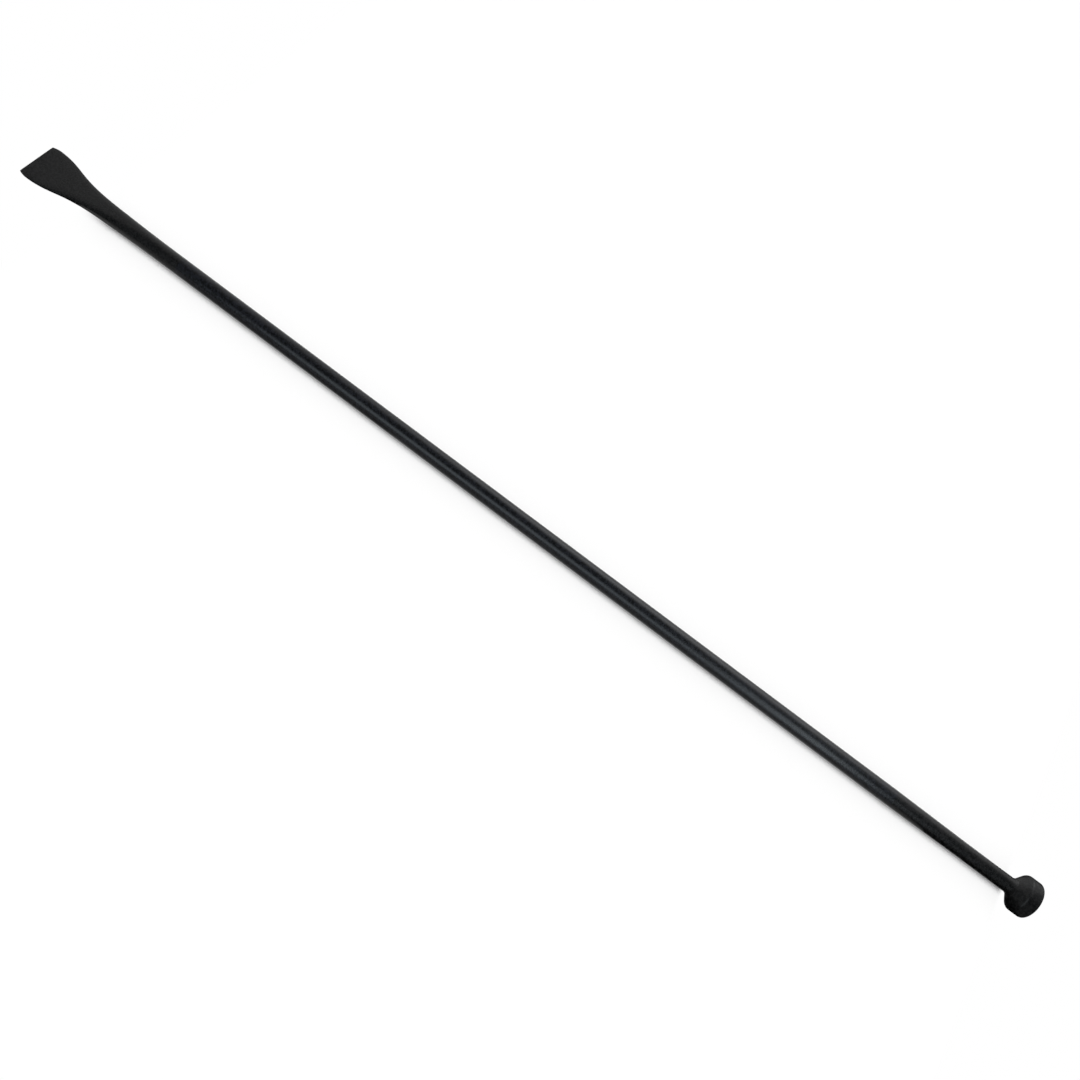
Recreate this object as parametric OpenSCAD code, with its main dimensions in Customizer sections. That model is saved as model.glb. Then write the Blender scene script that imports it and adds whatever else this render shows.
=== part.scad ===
// Digging bar: a round steel bar with a forged chisel blade at one end and a tamper head at the other.
// Sizes are in millimetres. The bar lies along X: its cutting edge is at -X and its tamping face at +X.
// The blade lies flat in the XY plane, and the origin is on the bar's axis at the middle of its length.

/* [Bar] */
// Length from the cutting edge to the tamping face
overall_length = 1753; // [1400:1:2000]
// Diameter of the round bar
shaft_d = 26; // [24:0.5:32]
// Diameter of the bar where it is drawn down behind the tamper head
neck_d = 24; // [20:0.5:26]
// Straight length of the drawn-down neck
neck_length = 90; // [20:5:250]
// Length over which the bar is drawn down to the neck
neck_taper_length = 120; // [20:5:300]

/* [Chisel blade] */
// Length of the forging from the cutting edge to the middle of the weld
blade_length = 260; // [250:1:320]
// Length over which the flat blade grows into the round bar
wedge_length = 230; // [120:1:235]
// Width that the blade's sides run towards at the cutting edge
blade_w = 67.5; // [40:0.5:100]
// Width of the cutting edge between its eased corners
edge_w = 61.5; // [30:0.5:67]
// Length of the eased corner along the blade's side
corner_length = 14; // [5:0.5:40]
// Thickness of the blunt cutting edge
edge_thickness = 2.5; // [1:0.1:6]
// Distance from the edge at which half of the flare is gone
flare_half_length = 66.5; // [40:0.5:90]
// How suddenly the flare narrows
flare_power = 3.4; // [2:0.1:5]
// How square the blade's section is at the cutting edge
edge_power = 7; // [4:0.5:10]
// How soon the square section rounds off behind the cutting edge
rounding_power = 1.2; // [1:0.1:3]

/* [Tamper head] */
// Diameter of the tamper head
head_d = 57.5; // [46:0.5:80]
// Length of the head's straight rim
rim_length = 20; // [14:0.5:40]
// Length of the cone between the bar and the rim
shoulder_length = 14.5; // [8:0.5:30]
// Radius that rounds the cone into the rim
shoulder_round = 4; // [1:0.5:6]
// Radius that rounds the rim into the tamping face
face_round = 3.5; // [1:0.5:5]

/* [Head joint] */
// Diameter of the spigot that the head sits on
spigot_d = 16; // [10:0.5:18]
// Chamfer on the end of the spigot
spigot_chamfer = 1; // [0.5:0.1:2]
// Gap all round between the spigot and its bore
spigot_clearance = 0.1; // [0.05:0.01:0.3]

/* [Welds] */
// Diameter of the flat at the root of the blade's weld
weld_root_d = 8; // [4:0.5:14]
// Width of the blade's weld at the surface of the bar
weld_w = 11; // [6:0.5:18]
// Length of each leg of the weld behind the head
fillet_leg = 2.5; // [1:0.1:5]
// Diameter of the weld in the tamping face
plug_d = 24; // [19:0.5:30]
// Depth of the weld in the tamping face
plug_depth = 4; // [2:0.5:8]

/* [Hidden] */
// Number of sections along the flat part of the blade
section_count = 32;
// Number of points round each section
section_sides = 64;
// Crowding of the sections towards the cutting edge
section_crowding = 1.4;
// Exponent of a section that is a plain circle
round_power = 2;
// Number of sides that stands for a true circle
$fn = 96;
// How far a cut runs past the surface it opens
overrun = 1;
paint = [0.05, 0.05, 0.055];

shaft_r = shaft_d / 2;
neck_r = neck_d / 2;
head_r = head_d / 2;
spigot_r = spigot_d / 2;
bore_r = spigot_r + spigot_clearance;
plug_r = plug_d / 2;
weld_root_r = weld_root_d / 2;
weld_half_w = weld_w / 2;
blade_half_w = blade_w / 2;
corner_ease = (blade_w - edge_w) / 2;

// Places along the bar
edge_x = -overall_length / 2;
face_x = overall_length / 2;
blade_end_x = edge_x + blade_length;
rim_x = face_x - rim_length;
seat_x = rim_x - shoulder_length;
taper_end_x = seat_x - neck_length;
taper_start_x = taper_end_x - neck_taper_length;
spigot_end_x = face_x - plug_depth;

// Angle of the head's cone from the bar's axis, and what its round takes off the cone and the rim
cone_angle = atan2(head_r - neck_r, shoulder_length);
round_setback = shoulder_round * tan(cone_angle / 2);

// Turns a profile of [radius, place along the bar] about the bar's axis
module turned() {
    rotate([0, 90, 0])
        rotate_extrude()
            children();
}

module shaft() {
    color(paint)
        turned()
            polygon([
                [0, blade_end_x],
                [weld_root_r, blade_end_x],
                [shaft_r, blade_end_x + weld_half_w],
                [shaft_r, taper_start_x],
                [neck_r, taper_end_x],
                [neck_r, seat_x],
                [spigot_r, seat_x],
                [spigot_r, spigot_end_x - spigot_chamfer],
                [spigot_r - spigot_chamfer, spigot_end_x],
                [0, spigot_end_x]
            ]);
}

// Smooth step from 0 to 1 with no slope at either end
function eased(share) = share * share * (3 - 2 * share);

// Share of the flare that is left at a distance from the cutting edge
function flare_at(distance) = 1 / (1 + pow(distance / flare_half_length, flare_power));

// What the eased corner takes off the half width at a distance from the cutting edge
function corner_cut(distance) = corner_ease * pow(max(0, 1 - distance / corner_length), 2);

// Half width of the blade: the flare runs out exactly at the end of the wedge
function half_width(distance) =
    let (last = flare_at(wedge_length), left = (flare_at(distance) - last) / (1 - last))
    shaft_r + (blade_half_w - shaft_r) * left - corner_cut(distance);

// Half thickness of the blade
function half_thickness(distance) =
    edge_thickness / 2 + (shaft_r - edge_thickness / 2) * eased(distance / wedge_length);

// Exponent of the section: high for a flat with square sides, 2 for a circle
function section_power(distance) =
    round_power + (edge_power - round_power) * pow(1 - eased(distance / wedge_length), rounding_power);

// A value raised to a power with its sign kept
function signed_pow(value, power) = sign(value) * pow(abs(value), power);

// Points of one section of the forging, at a place along the bar
function section(x, half_w, half_t, power) = [
    for (side = [0 : section_sides - 1])
        let (angle = 360 * side / section_sides)
        [
            x,
            half_w * signed_pow(cos(angle), 2 / power),
            half_t * signed_pow(sin(angle), 2 / power)
        ]
];

// Distances of the flat part's sections from the cutting edge
wedge_distances = [
    for (step = [0 : section_count]) wedge_length * pow(step / section_count, section_crowding)
];

// All sections from the cutting edge to the root of the weld
blade_sections = concat(
    [
        for (distance = wedge_distances)
            section(edge_x + distance, half_width(distance), half_thickness(distance), section_power(distance))
    ],
    [
        section(blade_end_x - weld_half_w, shaft_r, shaft_r, round_power),
        section(blade_end_x, weld_root_r, weld_root_r, round_power)
    ]
);

// Two triangles between each pair of neighbouring points on neighbouring sections
function skin_faces(count, sides) = [
    for (row = [0 : count - 2], side = [0 : sides - 1])
        let (next = (side + 1) % sides, here = row * sides, ahead = here + sides)
        each [
            [here + side, ahead + side, ahead + next],
            [here + side, ahead + next, here + next]
        ]
];

// The flat ends of the forging
function end_faces(count, sides) = [
    [for (side = [0 : sides - 1]) side],
    [for (side = [0 : sides - 1]) count * sides - 1 - side]
];

module chisel_blade() {
    count = len(blade_sections);
    color(paint)
        polyhedron(
            points = [for (ring = blade_sections) each ring],
            faces = concat(skin_faces(count, section_sides), end_faces(count, section_sides)),
            convexity = 4
        );
}

module blade_weld() {
    color(paint)
        turned()
            polygon([
                [weld_root_r, blade_end_x],
                [shaft_r, blade_end_x + weld_half_w],
                [shaft_r, blade_end_x - weld_half_w]
            ]);
}

// Half outline of the head with its bore left in
module head_profile() {
    polygon([
        [0, seat_x],
        [neck_r, seat_x],
        [head_r - round_setback * sin(cone_angle), rim_x - round_setback * cos(cone_angle)],
        [head_r, rim_x + round_setback],
        [head_r, face_x - face_round],
        [head_r - face_round, face_x],
        [0, face_x]
    ]);
    translate([head_r - shoulder_round, rim_x + round_setback])
        circle(r = shoulder_round);
    translate([head_r - face_round, face_x - face_round])
        circle(r = face_round);
}

// Half outline of the bore and of the countersink that takes the plug weld
module bore_profile() {
    polygon([
        [0, seat_x - overrun],
        [bore_r, seat_x - overrun],
        [bore_r, spigot_end_x],
        [plug_r, face_x],
        [plug_r, face_x + overrun],
        [0, face_x + overrun]
    ]);
}

module tamper_head() {
    color(paint)
        turned()
            difference() {
                head_profile();
                bore_profile();
            }
}

module head_fillet_weld() {
    color(paint)
        turned()
            polygon([
                [neck_r, seat_x - fillet_leg],
                [neck_r, seat_x],
                [neck_r + fillet_leg * sin(cone_angle), seat_x + fillet_leg * cos(cone_angle)]
            ]);
}

module head_plug_weld() {
    color(paint)
        turned()
            polygon([
                [0, spigot_end_x],
                [bore_r, spigot_end_x],
                [plug_r, face_x],
                [0, face_x]
            ]);
}

shaft();
chisel_blade();
blade_weld();
tamper_head();
head_fillet_weld();
head_plug_weld();
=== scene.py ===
"""Looks of the digging bar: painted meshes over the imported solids, a floor, soft lamps and the camera."""
import math

import bmesh
import bpy
import numpy as np
from mathutils import Matrix, Vector, noise


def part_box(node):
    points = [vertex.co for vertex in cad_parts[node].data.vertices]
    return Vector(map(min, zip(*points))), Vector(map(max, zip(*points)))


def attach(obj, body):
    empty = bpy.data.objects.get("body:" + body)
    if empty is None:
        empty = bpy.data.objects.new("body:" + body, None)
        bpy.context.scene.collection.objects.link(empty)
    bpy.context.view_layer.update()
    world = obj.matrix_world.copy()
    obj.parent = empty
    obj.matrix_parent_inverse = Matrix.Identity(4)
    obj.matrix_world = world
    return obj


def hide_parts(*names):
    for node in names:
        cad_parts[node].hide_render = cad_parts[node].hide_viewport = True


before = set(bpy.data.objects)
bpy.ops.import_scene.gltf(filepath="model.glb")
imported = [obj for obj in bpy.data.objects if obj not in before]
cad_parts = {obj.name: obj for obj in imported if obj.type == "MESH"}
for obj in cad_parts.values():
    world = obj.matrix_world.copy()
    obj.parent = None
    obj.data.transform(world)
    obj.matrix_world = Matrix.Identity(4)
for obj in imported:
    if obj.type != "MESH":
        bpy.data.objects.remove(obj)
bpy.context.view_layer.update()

MM = 0.001

# Sizes that the part's source names and its boxes don't show, in metres
NECK_RADIUS = 12 * MM
NECK_LENGTH = 90 * MM
NECK_TAPER_LENGTH = 120 * MM
WEDGE_LENGTH = 230 * MM
BLADE_HALF_WIDTH = 33.75 * MM
CORNER_EASE = 3 * MM
CORNER_LENGTH = 14 * MM
EDGE_HALF_THICKNESS = 1.25 * MM
FLARE_HALF_LENGTH = 66.5 * MM
FLARE_POWER = 3.4
EDGE_POWER = 7
ROUNDING_POWER = 1.2
ROUND_POWER = 2
RIM_LENGTH = 20 * MM
SHOULDER_ROUND = 4 * MM
FACE_ROUND = 3.5 * MM
SPIGOT_RADIUS = 8 * MM
SPIGOT_CHAMFER = 1 * MM
SPIGOT_CLEARANCE = 0.1 * MM
BORE_RADIUS = SPIGOT_RADIUS + SPIGOT_CLEARANCE
WELD_ROOT_RADIUS = 4 * MM
FILLET_LEG = 2.5 * MM

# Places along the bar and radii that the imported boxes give
EDGE_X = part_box("chisel_blade")[0].x
BLADE_END_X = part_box("chisel_blade")[1].x
SHAFT_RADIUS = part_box("blade_weld")[1].z
WELD_START_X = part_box("blade_weld")[0].x
WELD_END_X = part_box("blade_weld")[1].x
SEAT_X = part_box("tamper_head")[0].x
FACE_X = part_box("tamper_head")[1].x
HEAD_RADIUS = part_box("tamper_head")[1].z
SPIGOT_END_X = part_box("shaft")[1].x
PLUG_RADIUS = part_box("head_plug_weld")[1].z
RIM_X = FACE_X - RIM_LENGTH
TAPER_END_X = SEAT_X - NECK_LENGTH
TAPER_START_X = TAPER_END_X - NECK_TAPER_LENGTH
CONE_ANGLE = math.atan2(HEAD_RADIUS - NECK_RADIUS, RIM_X - SEAT_X)

# How finely the meshes are cut
RING_SIDES = 96
QUADRANT_POINTS = RING_SIDES // 4
SHAFT_STEP = 3 * MM
BLADE_STEP = 2 * MM
BLADE_WELD_STEP = 1 * MM
HEAD_STEP = 1.2 * MM
FACE_STEP = 1.5 * MM
PLUG_CENTRE_RADIUS = 1 * MM
ARC_STEPS = 12
EDGE_STEPS = 5
ROOT_RINGS = 9
BEAD_STEPS = 10
SIDES_PER_RIPPLE = 8
SLOPE_SAMPLES = 2001
SLOPE_LOG_RANGE = 30
SHARP_ANGLE = math.radians(35)

# Depth and spacing of the marks that rolling, forging, turning and welding leave under the paint
ROLLED_DEPTH = 0.06 * MM
ROLLED_SIZE = Vector((70, 14, 14)) * MM
FORGED_DEPTH = 0.16 * MM
FORGED_SIZE = Vector((16, 13, 13)) * MM
EDGE_SOFTENING = 0.5 * MM
SEAM_SOFTENING = 0.35 * MM
PLUG_EDGE = 3 * SEAM_SOFTENING
BEAD_CROWN = 0.25 * MM
BEAD_RIPPLE = 0.1 * MM
BEAD_RIPPLES = 36
BEAD_SWEEP = 0.9


def eased(share):
    """Smooth step from 0 to 1 with no slope at either end."""
    share = min(1.0, max(0.0, share))
    return share * share * (3 - 2 * share)


def hollow(point, size):
    """Share from 0 to 1 by which a soft random hollow is sunk at a point."""
    return 0.5 - 0.5 * noise.noise(Vector(a / b for a, b in zip(point, size)))


def forging_share(x):
    """1 over the blade's flat, 0 where the forging has become round bar."""
    return 1 - eased((x - EDGE_X) / WEDGE_LENGTH)


def relief(point):
    """How far the steel's own unevenness sinks the surface at a point."""
    forged = forging_share(point[0])
    return (ROLLED_DEPTH * hollow(point, ROLLED_SIZE) * (1 - forged)
            + FORGED_DEPTH * hollow(point, FORGED_SIZE) * forged)


def turn_outwards(mesh):
    """Turns every face of a closed mesh to look outwards."""
    shell = bmesh.new()
    shell.from_mesh(mesh)
    bmesh.ops.recalc_face_normals(shell, faces=shell.faces)
    if shell.calc_volume(signed=True) < 0:
        bmesh.ops.reverse_faces(shell, faces=shell.faces)
    shell.to_mesh(mesh)
    shell.free()


def new_piece(name, vertices, faces, node, material):
    """Makes one smooth mesh piece that stands for a CAD node and rides on the bar."""
    mesh = bpy.data.meshes.new(name)
    mesh.from_pydata([tuple(v) for v in vertices], [], faces)
    mesh.validate()
    turn_outwards(mesh)
    mesh.shade_smooth()
    mesh.set_sharp_from_angle(angle=SHARP_ANGLE)
    mesh.materials.append(material)
    piece = bpy.data.objects.new(name, mesh)
    bpy.context.scene.collection.objects.link(piece)
    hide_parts(node)
    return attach(piece, "root")


# Turned pieces

def cut_fine(outline, step):
    """Adds points to an outline of (x, radius) so that none of its stretches is longer than step."""
    cut = [outline[0]]
    for (x0, r0), (x1, r1) in zip(outline, outline[1:]):
        count = max(1, math.ceil(math.hypot(x1 - x0, r1 - r0) / step))
        cut += [(x0 + (x1 - x0) * i / count, r0 + (r1 - r0) * i / count) for i in range(1, count + 1)]
    return cut


def arc(centre, radius, start, end):
    """Points (x, radius) round a corner. Angles are in degrees from the bar's direction, outwards."""
    angles = [math.radians(start + (end - start) * i / ARC_STEPS) for i in range(ARC_STEPS + 1)]
    return [(centre[0] + radius * math.cos(a), centre[1] + radius * math.sin(a)) for a in angles]


def ring_points(x, radius, sink):
    """One ring of a turned piece, with its surface sunk by sink(point)."""
    ring = []
    for side in range(RING_SIDES):
        angle = 2 * math.pi * side / RING_SIDES
        out = Vector((0, math.cos(angle), math.sin(angle)))
        point = Vector((x, 0, 0)) + out * radius
        ring.append(point - out * sink(point))
    return ring


def band_faces(first, second, sides):
    """Quads between two rings that start at the given vertex numbers."""
    return [(first + i, first + (i + 1) % sides, second + (i + 1) % sides, second + i) for i in range(sides)]


def turned(name, outline, node, material, sink, closed):
    """Turns an outline of (x, radius) about the bar: a ring if closed, or else from axis to axis."""
    vertices, faces, starts = [], [], []
    for x, radius in outline:
        starts.append(len(vertices))
        vertices += ring_points(x, radius, sink) if radius > 0 else [Vector((x, 0, 0))]
    pairs = list(zip(starts, starts[1:], outline, outline[1:]))
    if closed:
        pairs.append((starts[-1], starts[0], outline[-1], outline[0]))
    for first, second, (_, r0), (_, r1) in pairs:
        if r0 > 0 and r1 > 0:
            faces += band_faces(first, second, RING_SIDES)
        elif r1 > 0:
            faces += [(first, second + (i + 1) % RING_SIDES, second + i) for i in range(RING_SIDES)]
        elif r0 > 0:
            faces += [(first + i, first + (i + 1) % RING_SIDES, second) for i in range(RING_SIDES)]
    return new_piece(name, vertices, faces, node, material)


def make_shaft(material, neck_material):
    """The round bar. From where it is drawn down to its neck, it has a paint of its own."""
    hidden_start = [(BLADE_END_X, 0.0), (BLADE_END_X, WELD_ROOT_RADIUS)]
    seen = cut_fine([
        (WELD_END_X, SHAFT_RADIUS),
        (TAPER_START_X, SHAFT_RADIUS),
        (TAPER_END_X, NECK_RADIUS),
        (SEAT_X, NECK_RADIUS),
    ], SHAFT_STEP)
    hidden_end = [
        (SEAT_X, SPIGOT_RADIUS),
        (SPIGOT_END_X - SPIGOT_CHAMFER, SPIGOT_RADIUS),
        (SPIGOT_END_X, SPIGOT_RADIUS - SPIGOT_CHAMFER),
        (SPIGOT_END_X, 0.0),
    ]
    shaft = turned("bar_shaft", hidden_start + seen + hidden_end, "shaft", material, relief, closed=False)
    shaft.data.materials.append(neck_material)
    for face in shaft.data.polygons:
        face.material_index = 1 if face.center.x > TAPER_START_X else 0
    return shaft


def make_blade_weld(material):
    """The flush ring of weld between the blade and the bar."""
    outline = cut_fine([
        (BLADE_END_X, WELD_ROOT_RADIUS),
        (WELD_END_X, SHAFT_RADIUS),
        (WELD_START_X, SHAFT_RADIUS),
    ], BLADE_WELD_STEP)
    return turned("blade_weld_ring", outline, "blade_weld", material, relief, closed=True)


def head_outline():
    """Outline of the tamper head from its seat over the rim to the countersink and back through the bore."""
    setback = SHOULDER_ROUND * math.tan(CONE_ANGLE / 2)
    cone_turn = 90 + math.degrees(CONE_ANGLE)
    shoulder = arc((RIM_X + setback, HEAD_RADIUS - SHOULDER_ROUND), SHOULDER_ROUND, cone_turn, 90)
    corner = arc((FACE_X - FACE_ROUND, HEAD_RADIUS - FACE_ROUND), FACE_ROUND, 90, 0)
    outside = cut_fine([(SEAT_X, NECK_RADIUS)] + shoulder + corner, HEAD_STEP)
    face = cut_fine([corner[-1], (FACE_X, PLUG_RADIUS + SEAM_SOFTENING)], FACE_STEP)[1:]
    lip = [(FACE_X - SEAM_SOFTENING, PLUG_RADIUS - SEAM_SOFTENING)]
    return outside + face + lip + [(SPIGOT_END_X, BORE_RADIUS), (SEAT_X, BORE_RADIUS)]


def head_sink(point):
    """Faint waviness of the turned head, nothing in its bore."""
    radius = math.hypot(point[1], point[2])
    return ROLLED_DEPTH * hollow(point, FORGED_SIZE) if radius > NECK_RADIUS else 0.0


def make_head(material):
    return turned("tamper_button", head_outline(), "tamper_head", material, head_sink, closed=True)


def make_plug_weld(material):
    """The weld over the end of the spigot, with a soft seam to the tamping face."""
    face = cut_fine([(FACE_X, PLUG_RADIUS - PLUG_EDGE), (FACE_X, PLUG_CENTRE_RADIUS)], FACE_STEP)
    lip = (FACE_X - SEAM_SOFTENING, PLUG_RADIUS - SEAM_SOFTENING)
    outline = [(SPIGOT_END_X, 0.0), (SPIGOT_END_X, BORE_RADIUS), lip] + face + [(FACE_X, 0.0)]
    return turned("plug_weld_disc", outline, "head_plug_weld", material, lambda point: 0.0, closed=False)


# Blade

def flare_at(distance):
    """Share of the flare that is left at a distance from the cutting edge."""
    return 1 / (1 + (distance / FLARE_HALF_LENGTH) ** FLARE_POWER)


def half_width(distance):
    """Half width of the blade at a distance from its cutting edge."""
    last = flare_at(WEDGE_LENGTH)
    left = (flare_at(distance) - last) / (1 - last)
    corner = CORNER_EASE * max(0.0, 1 - distance / CORNER_LENGTH) ** 2
    return SHAFT_RADIUS + (BLADE_HALF_WIDTH - SHAFT_RADIUS) * left - corner


def half_thickness(distance):
    """Half thickness of the blade at a distance from its cutting edge."""
    return EDGE_HALF_THICKNESS + (SHAFT_RADIUS - EDGE_HALF_THICKNESS) * eased(distance / WEDGE_LENGTH)


def section_power(distance):
    """Exponent of the section: high for a flat with square sides, 2 for a circle."""
    square = (1 - eased(distance / WEDGE_LENGTH)) ** ROUNDING_POWER
    return ROUND_POWER + (EDGE_POWER - ROUND_POWER) * square


def quadrant(half_w, half_t, power):
    """Points of a quarter of a section from its side to its top, spread by its length and its bends."""
    slope = np.exp(np.linspace(-SLOPE_LOG_RANGE, SLOPE_LOG_RANGE, SLOPE_SAMPLES))
    lean = (slope * half_t / half_w) ** (1 / (power - 1))
    size = (1 + lean ** power) ** (1 / power)
    y = np.concatenate([[half_w], half_w / size, [0]])
    z = np.concatenate([[0], half_t * lean / size, [half_t]])
    turn = np.concatenate([[0], np.arctan(slope), [math.pi / 2]])
    length = np.concatenate([[0], np.cumsum(np.hypot(np.diff(y), np.diff(z)))])
    measure = length / length[-1] + turn / turn[-1]
    even = np.linspace(0, measure[-1], QUADRANT_POINTS + 1)
    return list(zip(np.interp(even, measure, y), np.interp(even, measure, z)))


def section(x, half_w, half_t, power):
    """One whole section of the forging, sunk by the marks that the hammer left."""
    quarter = quadrant(half_w, half_t, power)
    ring = (quarter[:-1]
            + [(-y, z) for y, z in quarter[:0:-1]]
            + [(-y, -z) for y, z in quarter[:-1]]
            + [(y, -z) for y, z in quarter[:0:-1]])
    sunk = []
    for y, z in ring:
        outward = Vector((0, y / half_w ** 2, z / half_t ** 2)).normalized()
        sunk.append(Vector((x, y, z)) - outward * relief((x, y, z)))
    return sunk


def flat_section(distance, inset=0.0):
    """Section of the blade's flat at a distance from its cutting edge, drawn in by inset."""
    half_w = half_width(distance) - inset
    half_t = half_thickness(distance) - inset
    return section(EDGE_X + distance, half_w, half_t, section_power(distance))


def blade_rings():
    """Sections from the softened cutting edge to the root of the weld."""
    rings = []
    for i in range(EDGE_STEPS):
        turn = math.pi / 2 * i / EDGE_STEPS
        distance = EDGE_SOFTENING * (1 - math.cos(turn))
        inset = EDGE_SOFTENING * (1 - math.sin(turn))
        rings.append(flat_section(distance, inset))
    count = round(WEDGE_LENGTH / BLADE_STEP)
    for i in range(count + 1):
        rings.append(flat_section(EDGE_SOFTENING + (WEDGE_LENGTH - EDGE_SOFTENING) * i / count))
    for x in np.linspace(EDGE_X + WEDGE_LENGTH, WELD_START_X, ROOT_RINGS + 1)[1:]:
        rings.append(section(x, SHAFT_RADIUS, SHAFT_RADIUS, ROUND_POWER))
    rings.append(section(BLADE_END_X, WELD_ROOT_RADIUS, WELD_ROOT_RADIUS, ROUND_POWER))
    return rings


def make_blade(material):
    """The forging, closed at its edge by strips from top to bottom and at its root by one flat face."""
    rings = blade_rings()
    sides = len(rings[0])
    vertices = [point for ring in rings for point in ring]
    faces = []
    for i in range(len(rings) - 1):
        faces += band_faces(i * sides, (i + 1) * sides, sides)
    strips = [(j, (sides - j) % sides, sides - j - 1, j + 1) for j in range(sides // 2)]
    faces += [tuple(dict.fromkeys(strip)) for strip in strips]
    root = (len(rings) - 1) * sides
    faces.append(tuple(root + j for j in range(sides)))
    return new_piece("blade_forging", vertices, faces, "chisel_blade", material)


# Weld behind the head

def bead_points(angle):
    """Points (x, radius) of the bead at an angle round the bar: its root, then over its rippled crown."""
    top_x = SEAT_X + FILLET_LEG * math.cos(CONE_ANGLE)
    top_radius = NECK_RADIUS + FILLET_LEG * math.sin(CONE_ANGLE)
    foot = Vector((SEAT_X - FILLET_LEG, NECK_RADIUS))
    top = Vector((top_x, top_radius))
    outward = Vector((-(top - foot).y, (top - foot).x)).normalized()
    points = [Vector((SEAT_X, NECK_RADIUS))]
    for i in range(BEAD_STEPS + 1):
        share = i / BEAD_STEPS
        dome = 4 * share * (1 - share)
        ripple = 0.5 + 0.5 * math.cos(BEAD_RIPPLES * angle + BEAD_SWEEP * math.pi * dome)
        points.append(foot.lerp(top, share) + outward * dome * (BEAD_CROWN - BEAD_RIPPLE * ripple))
    return points


def make_fillet_weld(material):
    """A crowned bead with the ripples that the weld pool leaves, round the corner behind the head."""
    sides = BEAD_RIPPLES * SIDES_PER_RIPPLE
    row = BEAD_STEPS + 2
    vertices, faces = [], []
    for side in range(sides):
        angle = 2 * math.pi * side / sides
        around = Vector((0, math.cos(angle), math.sin(angle)))
        vertices += [Vector((point.x, 0, 0)) + around * point.y for point in bead_points(angle)]
        here = side * row
        ahead = (side + 1) % sides * row
        faces += [(here + i, here + (i + 1) % row, ahead + (i + 1) % row, ahead + i) for i in range(row)]
    return new_piece("fillet_weld_bead", vertices, faces, "head_fillet_weld", material)


# Shader nodes

def empty_tree(owner):
    """The node tree of a new material or world, with nothing in it."""
    owner.use_nodes = True
    owner.node_tree.nodes.clear()
    return owner.node_tree


def add_node(tree, kind, **settings):
    """A new node with its settings, which aren't sockets."""
    node = tree.nodes.new(kind)
    for key, value in settings.items():
        setattr(node, key, value)
    return node


def set_inputs(node, **values):
    """Sets a node's sockets, whose names have _ for each space here."""
    for key, value in values.items():
        node.inputs[key.replace("_", " ")].default_value = value
    return node


def show(tree, shader, output="ShaderNodeOutputMaterial"):
    """Makes a shader what the material or world shows."""
    tree.links.new(shader.outputs[0], add_node(tree, output).inputs["Surface"])


def math_node(tree, operation, *values):
    """Result of an operation on values, each another node's output or a plain number."""
    node = add_node(tree, "ShaderNodeMath", operation=operation)
    for socket, value in zip(node.inputs, values):
        if isinstance(value, float):
            socket.default_value = value
        else:
            tree.links.new(value, socket)
    return node.outputs[0]


def ranged(tree, value, limits, results=(0.0, 1.0), kind="LINEAR"):
    """Carries a value from between two limits to between two results, and holds it there."""
    node = add_node(tree, "ShaderNodeMapRange", interpolation_type=kind)
    set_inputs(node, From_Min=limits[0], From_Max=limits[1], To_Min=results[0], To_Max=results[1])
    tree.links.new(value, node.inputs["Value"])
    return node.outputs["Result"]


def smooth(tree, value, limits, results=(0.0, 1.0)):
    """As ranged, with no slope at either end."""
    return ranged(tree, value, limits, results, "SMOOTHSTEP")


def axes(tree, vector):
    """The X, Y and Z outputs of a vector."""
    node = add_node(tree, "ShaderNodeSeparateXYZ")
    tree.links.new(vector, node.inputs[0])
    return node.outputs


def mixed(tree, share, first, second):
    """The first shader where share is 0, the second where it is 1."""
    node = add_node(tree, "ShaderNodeMixShader")
    tree.links.new(share, node.inputs[0])
    tree.links.new(first.outputs[0], node.inputs[1])
    tree.links.new(second.outputs[0], node.inputs[2])
    return node


# Paint

# Darkest and palest tone of the grain: neutral on forged and turned steel, slightly blue on the rolled bar
BLACKS = ((0.0010, 0.0010, 0.00105, 1.0), (0.0072, 0.0072, 0.0074, 1.0))
COLD_BLACKS = ((0.0010, 0.0011, 0.0015, 1.0), (0.0068, 0.0076, 0.0104, 1.0))
TONE_LIMITS = (0.41, 0.59)
GLOSS = 0.19
NOISE_ROUGHNESS = 0.55
NOISE_LIMITS = (0.3, 0.7)
BROAD_DETAIL = 3.0
GRAIN_DETAIL = 2.0
PATCH_DETAIL = 4.0
PATCH_SCALE_SHARE = 0.45


def noise_node(tree, place, scale, detail, stretch=1.0):
    """Noise of scale per metre, drawn out along X by stretch."""
    mapping = set_inputs(add_node(tree, "ShaderNodeMapping"), Scale=(1 / stretch, 1, 1))
    texture = add_node(tree, "ShaderNodeTexNoise")
    set_inputs(texture, Scale=scale, Detail=detail, Roughness=NOISE_ROUGHNESS)
    tree.links.new(place, mapping.inputs["Vector"])
    tree.links.new(mapping.outputs["Vector"], texture.inputs["Vector"])
    return texture.outputs["Fac"]


def bump_node(tree, height, distance, below=None):
    """Normal of a bump of a height map, laid over the normal below it."""
    bump = set_inputs(add_node(tree, "ShaderNodeBump"), Strength=1.0, Distance=distance)
    tree.links.new(height, bump.inputs["Height"])
    if below is not None:
        tree.links.new(below, bump.inputs["Normal"])
    return bump.outputs["Normal"]


def tone_node(tree, value, colours):
    """Colour between the two tones of a paint."""
    tone = add_node(tree, "ShaderNodeValToRGB")
    for stop, position, colour in zip(tone.color_ramp.elements, TONE_LIMITS, colours):
        stop.position = position
        stop.color = colour
    tree.links.new(value, tone.inputs["Fac"])
    return tone.outputs["Color"]


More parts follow.
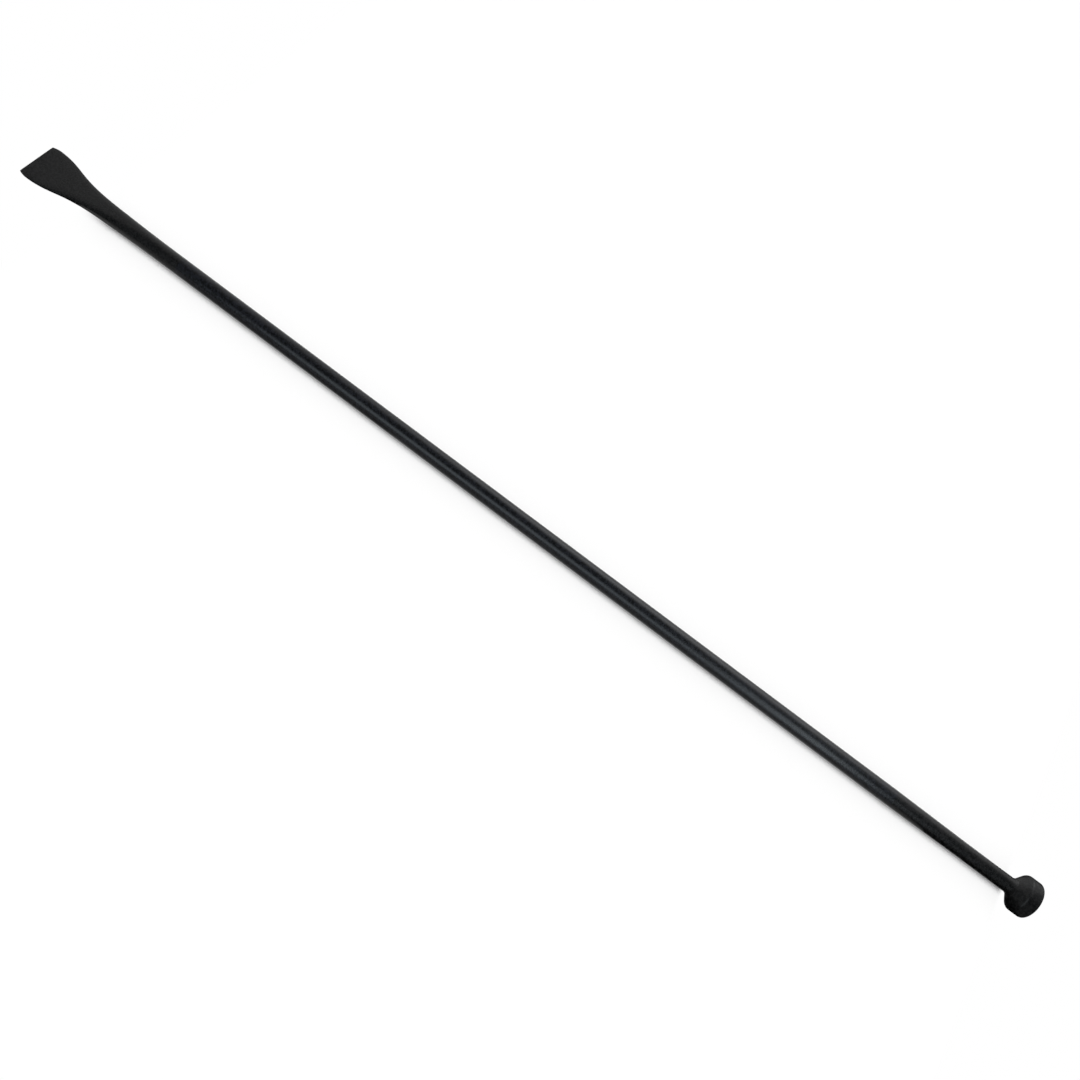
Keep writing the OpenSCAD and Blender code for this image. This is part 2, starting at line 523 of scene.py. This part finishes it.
def paint(name, broad_scale, broad_depth, grain_scale, grain_depth, stretch, roughness, colours=BLACKS):
    """Black enamel over steel: broad unevenness of the metal, fine grain of the paint, patches of sheen."""
    material = bpy.data.materials.new(name)
    tree = empty_tree(material)
    shader = set_inputs(add_node(tree, "ShaderNodeBsdfPrincipled"), Specular_IOR_Level=GLOSS)
    place = add_node(tree, "ShaderNodeTexCoord").outputs["Object"]
    broad = noise_node(tree, place, broad_scale, BROAD_DETAIL, stretch)
    grain = noise_node(tree, place, grain_scale, GRAIN_DETAIL)
    patches = noise_node(tree, place, broad_scale * PATCH_SCALE_SHARE, PATCH_DETAIL, stretch)
    normal = bump_node(tree, grain, grain_depth, bump_node(tree, broad, broad_depth))
    tree.links.new(tone_node(tree, grain, colours), shader.inputs["Base Color"])
    tree.links.new(ranged(tree, patches, NOISE_LIMITS, roughness), shader.inputs["Roughness"])
    tree.links.new(normal, shader.inputs["Normal"])
    show(tree, shader)
    return material


def rolled_paint(name, colours):
    return paint(name, broad_scale=45, broad_depth=0.05 * MM, grain_scale=290, grain_depth=0.11 * MM,
                 stretch=5.0, roughness=(0.22, 0.29), colours=colours)


def forged_paint():
    return paint("paint_on_forging", broad_scale=60, broad_depth=0.10 * MM, grain_scale=420,
                 grain_depth=0.08 * MM, stretch=1.3, roughness=(0.24, 0.31))


def turned_paint():
    return paint("paint_on_turned_head", broad_scale=130, broad_depth=0.34 * MM, grain_scale=220,
                 grain_depth=0.18 * MM, stretch=1.0, roughness=(0.40, 0.50))


def weld_paint():
    return paint("paint_on_weld", broad_scale=400, broad_depth=0.05 * MM, grain_scale=1500,
                 grain_depth=0.02 * MM, stretch=1.0, roughness=(0.46, 0.56))


def make_pieces():
    """Makes the six pieces, and returns the head and the bead behind it for the lamps to spare."""
    rolled = rolled_paint("paint_on_rolled_bar", COLD_BLACKS)
    drawn = rolled_paint("paint_on_drawn_neck", BLACKS)
    forged = forged_paint()
    lathed = turned_paint()
    weld = weld_paint()
    make_shaft(rolled, drawn)
    make_blade(forged)
    make_blade_weld(rolled)
    head = make_head(lathed)
    bead = make_fillet_weld(weld)
    make_plug_weld(weld)
    return head, bead


# Floor

# Ends of the floor, under the blade and at the head, and the stretch where it keeps the whole shadow
FLOOR_ENDS = (EDGE_X + 86.5 * MM, SEAT_X)
FLOOR_WHOLE = (EDGE_X + 141.5 * MM, SEAT_X - 8 * MM)
FLOOR_HALF = 20.0
FLOOR_COLOUR = (0.86, 0.86, 0.86, 1.0)
FLOOR_LIFT = 0.15

# Black nets of painted shade just above the floor in front of the bar, seen only in its reflections, and a
# black card by the head: their stretches of x and y, and what they cover
PAINTED_SHADE_NETS = (
    ("painted_shade_net_by_blade", (-0.80, -0.62), 0.40),
    ("close_painted_shade_net", (-0.62, -0.25), 0.62),
    ("painted_shade_net", (-0.25, 0.70), 0.40),
)
PAINTED_SHADE_NET_Y = (-90 * MM, -14 * MM)
# The card paints shade into the neck's and the head's reflections of the floor, so that their undersides are
# dark
HEAD_SHADE_CARD_X = (0.70, FACE_X)
HEAD_SHADE_CARD_Y = (-800 * MM, -14 * MM)
HEAD_SHADE_CARD_COVER = 1.0
SHADE_SHEET_LIFT = 0.5 * MM


def floor_cover(tree):
    """1 where the floor keeps its shadow, falling to 0 towards its ends under the blade and the neck."""
    x = axes(tree, add_node(tree, "ShaderNodeTexCoord").outputs["Object"])["X"]
    fades = [smooth(tree, x, limits) for limits in zip(FLOOR_ENDS, FLOOR_WHOLE)]
    return math_node(tree, "MULTIPLY", *fades)


def looked_at(tree):
    """1 for what the eye and reflections see, 0 for the light that the floor itself throws back."""
    path = add_node(tree, "ShaderNodeLightPath").outputs
    seen = math_node(tree, "MAXIMUM", path["Is Camera Ray"], path["Is Glossy Ray"])
    return math_node(tree, "MAXIMUM", seen, path["Is Transmission Ray"])


def floor_material():
    """A pale floor that keeps the bar's shadow. What the eye and reflections see of it is lifted."""
    material = bpy.data.materials.new("pale_floor")
    tree = empty_tree(material)
    seen = looked_at(tree)
    diffuse = set_inputs(add_node(tree, "ShaderNodeBsdfDiffuse"), Color=FLOOR_COLOUR)
    lift = add_node(tree, "ShaderNodeEmission")
    white = add_node(tree, "ShaderNodeEmission")
    lifted = add_node(tree, "ShaderNodeAddShader")
    tree.links.new(math_node(tree, "MULTIPLY", seen, FLOOR_LIFT), lift.inputs["Strength"])
    tree.links.new(seen, white.inputs["Strength"])
    tree.links.new(diffuse.outputs[0], lifted.inputs[0])
    tree.links.new(lift.outputs[0], lifted.inputs[1])
    show(tree, mixed(tree, floor_cover(tree), white, lifted))
    return material


def flat(name, x, y, z, material):
    """A level sheet of the stage between two values of x and two of y."""
    mesh = bpy.data.meshes.new(name)
    corners = [(x[0], y[0], z), (x[1], y[0], z), (x[1], y[1], z), (x[0], y[1], z)]
    mesh.from_pydata(corners, [], [(0, 1, 2, 3)])
    mesh.materials.append(material)
    sheet = bpy.data.objects.new(name, mesh)
    bpy.context.scene.collection.objects.link(sheet)
    return sheet


def make_floor():
    """The table that the bar lies on, with its blade and head over the ends."""
    flat("floor", FLOOR_ENDS, (-FLOOR_HALF, FLOOR_HALF), -SHAFT_RADIUS, floor_material())


def make_shade_sheet(name, x, y, cover):
    """A black card or net of painted shade that lies just above the floor. It only shows in the gloss, where
    it darkens the reflected floor.
    """
    material = bpy.data.materials.new(name)
    material.use_nodes = True
    set_inputs(material.node_tree.nodes["Principled BSDF"],
               Base_Color=BLACKS[0], Roughness=1.0, Specular_IOR_Level=0.0, Alpha=cover)
    flag = flat(name, x, y, SHADE_SHEET_LIFT - SHAFT_RADIUS, material)
    flag.visible_camera = False
    flag.visible_diffuse = False
    flag.visible_shadow = False


# Lays the sheets of painted shade: the nets along the shaft and the card by the head
def make_shade_sheets():
    for name, x, cover in PAINTED_SHADE_NETS:
        make_shade_sheet(name, x, PAINTED_SHADE_NET_Y, cover)
    make_shade_sheet("painted_shade_card_by_head", HEAD_SHADE_CARD_X, HEAD_SHADE_CARD_Y, HEAD_SHADE_CARD_COVER)


# Lamps and room

PALE = (0.98, 0.99, 1.0)
COOL = (0.84, 0.94, 1.0)
KEY_LIGHT = 0.66 * math.pi
KEY_SPREAD = math.radians(49)
KEY_LEAN = math.radians(4.5)
CARD_DISTANCE = 2.0
AMBIENT = 0.35
WHITE_LIGHT = 1.0

# Brightness of the mirrored room at degrees round the bar, from the back over the top. Its front is cool.
ROOM_LIGHT = 1.5
ROOM_SHARES = (
    (-180, 0.05), (-8, 0.05), (0, 0.85), (40, 0.86), (67, 0.42), (94, 0.19), (130, 0.14), (180, 0.12),
)
ROOM_TOP = 90

# Where the mirrored room darkens towards the head's end, and the pale floor that lies there in the gloss
ROOM_FADE_X = (0.40, 0.62)
ROOM_FADE_SHARE = 0.5
END_FLOOR_X = (0.50, 0.70)
END_FLOOR_Z = (0.0, -0.15)
END_FLOOR_LIGHT = 0.5


def soft_edge(tree, along, softness):
    """1 over the middle of a lamp and falling smoothly to 0 over the last part of it."""
    off_centre = math_node(tree, "ABSOLUTE", math_node(tree, "MULTIPLY_ADD", along, 2.0, -1.0))
    return smooth(tree, off_centre, (1 - softness, 1.0), (1.0, 0.0))


def soften_lamp(data, softness):
    """Gives a soft box the fall-off of its cloth towards its edges."""
    data.use_nodes = True
    tree = data.node_tree
    place = axes(tree, add_node(tree, "ShaderNodeNewGeometry").outputs["Parametric"])
    edges = [soft_edge(tree, place[axis], share) for axis, share in zip("XY", softness)]
    tree.links.new(math_node(tree, "MULTIPLY", *edges), tree.nodes["Emission"].inputs["Strength"])


def make_card(name, centre_x, elevation, size, radiance, softness, tint):
    """A soft box that only shows in the gloss. Elevation is in degrees from the back over the top."""
    data = bpy.data.lights.new(name, "AREA")
    data.shape = "RECTANGLE"
    data.size, data.size_y = size
    data.energy = radiance * math.pi * size[0] * size[1]
    data.color = tint
    soften_lamp(data, softness)
    lamp = bpy.data.objects.new(name, data)
    bpy.context.scene.collection.objects.link(lamp)
    angle = math.radians(elevation)
    away = Vector((0, math.cos(angle), math.sin(angle)))
    along = Vector((1, 0, 0))
    turn = Matrix((along, away.cross(along), away)).transposed().to_4x4()
    lamp.matrix_world = Matrix.Translation(along * centre_x + away * CARD_DISTANCE) @ turn
    lamp.visible_camera = False
    lamp.visible_diffuse = False
    return lamp


def keep_off(lamp, pieces):
    """Shields pieces from a lamp, as a small flag beside it does."""
    shielded = bpy.data.collections.new(lamp.name + "_shielded")
    for piece in pieces:
        shielded.objects.link(piece)
    lamp.light_linking.receiver_collection = shielded
    for member in shielded.collection_objects:
        member.light_linking.link_state = "EXCLUDE"


def make_key():
    """The broad soft light from above, which lights floor and bar evenly and isn't mirrored in the paint."""
    data = bpy.data.lights.new("key", "SUN")
    data.energy = KEY_LIGHT
    data.angle = KEY_SPREAD
    lamp = bpy.data.objects.new("key", data)
    bpy.context.scene.collection.objects.link(lamp)
    lamp.rotation_euler = (KEY_LEAN, 0, 0)
    lamp.visible_glossy = False


def room_colour(tree, way):
    """Colour of the mirrored room by the angle round the bar."""
    round_bar = add_node(tree, "ShaderNodeCombineXYZ")
    tree.links.new(way["Y"], round_bar.inputs["X"])
    tree.links.new(way["Z"], round_bar.inputs["Y"])
    angle = add_node(tree, "ShaderNodeTexGradient", gradient_type="RADIAL")
    tree.links.new(round_bar.outputs[0], angle.inputs[0])
    ramp = add_node(tree, "ShaderNodeValToRGB")
    ramp.color_ramp.interpolation = "EASE"
    stops = ramp.color_ramp.elements
    while len(stops) < len(ROOM_SHARES):
        stops.new(0.5)
    for stop, (degrees, share) in zip(stops, ROOM_SHARES):
        tint = COOL if degrees > ROOM_TOP else PALE
        stop.position = 0.5 + degrees / 360
        stop.color = [share * part for part in tint] + [1.0]
    tree.links.new(angle.outputs["Fac"], ramp.inputs["Fac"])
    return ramp.outputs["Color"]


def mirrored_room(tree):
    """What the gloss shows: a bright wall behind the bar, a dim ceiling, a pale floor beyond the head."""
    way = axes(tree, add_node(tree, "ShaderNodeTexCoord").outputs["Generated"])
    walls = add_node(tree, "ShaderNodeBackground")
    strength = smooth(tree, way["X"], ROOM_FADE_X, (ROOM_LIGHT, ROOM_LIGHT * ROOM_FADE_SHARE))
    tree.links.new(room_colour(tree, way), walls.inputs["Color"])
    tree.links.new(strength, walls.inputs["Strength"])
    end_floor = add_node(tree, "ShaderNodeBackground")
    set_inputs(end_floor, Color=(*PALE, 1.0), Strength=END_FLOOR_LIGHT)
    beyond = smooth(tree, way["X"], END_FLOOR_X)
    below = smooth(tree, way["Z"], END_FLOOR_Z)
    return mixed(tree, math_node(tree, "MULTIPLY", beyond, below), walls, end_floor)


def make_room():
    """A white backdrop with a little light all round, and the room that the gloss shows in its place."""
    world = bpy.data.worlds.new("studio")
    tree = empty_tree(world)
    path = add_node(tree, "ShaderNodeLightPath").outputs
    backdrop = set_inputs(add_node(tree, "ShaderNodeBackground"), Color=(1, 1, 1, 1))
    strength = ranged(tree, path["Is Camera Ray"], (0.0, 1.0), (AMBIENT, WHITE_LIGHT))
    tree.links.new(strength, backdrop.inputs["Strength"])
    choice = mixed(tree, path["Is Glossy Ray"], backdrop, mirrored_room(tree))
    show(tree, choice, "ShaderNodeOutputWorld")
    bpy.context.scene.world = world


def make_lights(head, bead):
    """The room, the key light and four soft boxes. Two spare the bead, and one of them the head too."""
    make_room()
    make_key()
    make_card("back_card", centre_x=0.5, elevation=38, size=(3.3, 3.3), radiance=3.1,
              softness=(0.85, 0.95), tint=PALE)
    make_card("top_right", centre_x=1.2, elevation=82, size=(1.3, 1.9), radiance=1.0,
              softness=(0.9, 0.9), tint=COOL)
    front_strip = make_card("front_strip", centre_x=-0.2, elevation=148, size=(1.96, 2.4), radiance=3.5,
                            softness=(0.1, 0.95), tint=COOL)
    front_right = make_card("front_right", centre_x=1.1, elevation=142, size=(0.56, 4.6), radiance=9.0,
                            softness=(0.75, 0.9), tint=COOL)
    keep_off(front_right, [head, bead])
    keep_off(front_strip, [bead])


# Camera

# The camera leans from the vertical by TURN. ROLL is the bar's way across the picture, right and down.
TURN = math.radians(28.55)
ROLL = (0.8013, 0.5983)

# Focal length and frame in the photograph's pixels, and pixels per metre at the bar
FOCAL_PX = 1046.0
FRAME_PX = 1080.0
PX_PER_M = 707.4

# Point in the middle of the picture, along the bar and across it
AIM_X = 15.9 * MM
AIM_ACROSS = 5.75 * MM

# Sensor in millimetres and range in metres
SENSOR_WIDTH = 36.0
CLIP_START = 0.01
CLIP_END = 100.0


def make_camera():
    """A camera over the middle of the bar, rolled so that the bar runs from upper left to lower right."""
    towards = Vector((0, -math.sin(TURN), math.cos(TURN)))
    across = Vector((0, -math.cos(TURN), -math.sin(TURN)))
    along = Vector((1, 0, 0))
    right = along * ROLL[0] - across * ROLL[1]
    down = along * ROLL[1] + across * ROLL[0]
    data = bpy.data.cameras.new("camera")
    data.sensor_width = SENSOR_WIDTH
    data.lens = SENSOR_WIDTH * FOCAL_PX / FRAME_PX
    data.clip_start = CLIP_START
    data.clip_end = CLIP_END
    camera = bpy.data.objects.new("camera", data)
    bpy.context.scene.collection.objects.link(camera)
    target = along * AIM_X + across * AIM_ACROSS
    turn = Matrix((right, -down, towards)).transposed().to_4x4()
    camera.matrix_world = Matrix.Translation(target + towards * FOCAL_PX / PX_PER_M) @ turn
    bpy.context.scene.camera = camera


tamper_head, head_bead = make_pieces()
make_floor()
make_shade_sheets()
make_lights(tamper_head, head_bead)
make_camera()
bpy.context.scene.view_settings.view_transform = "Standard"
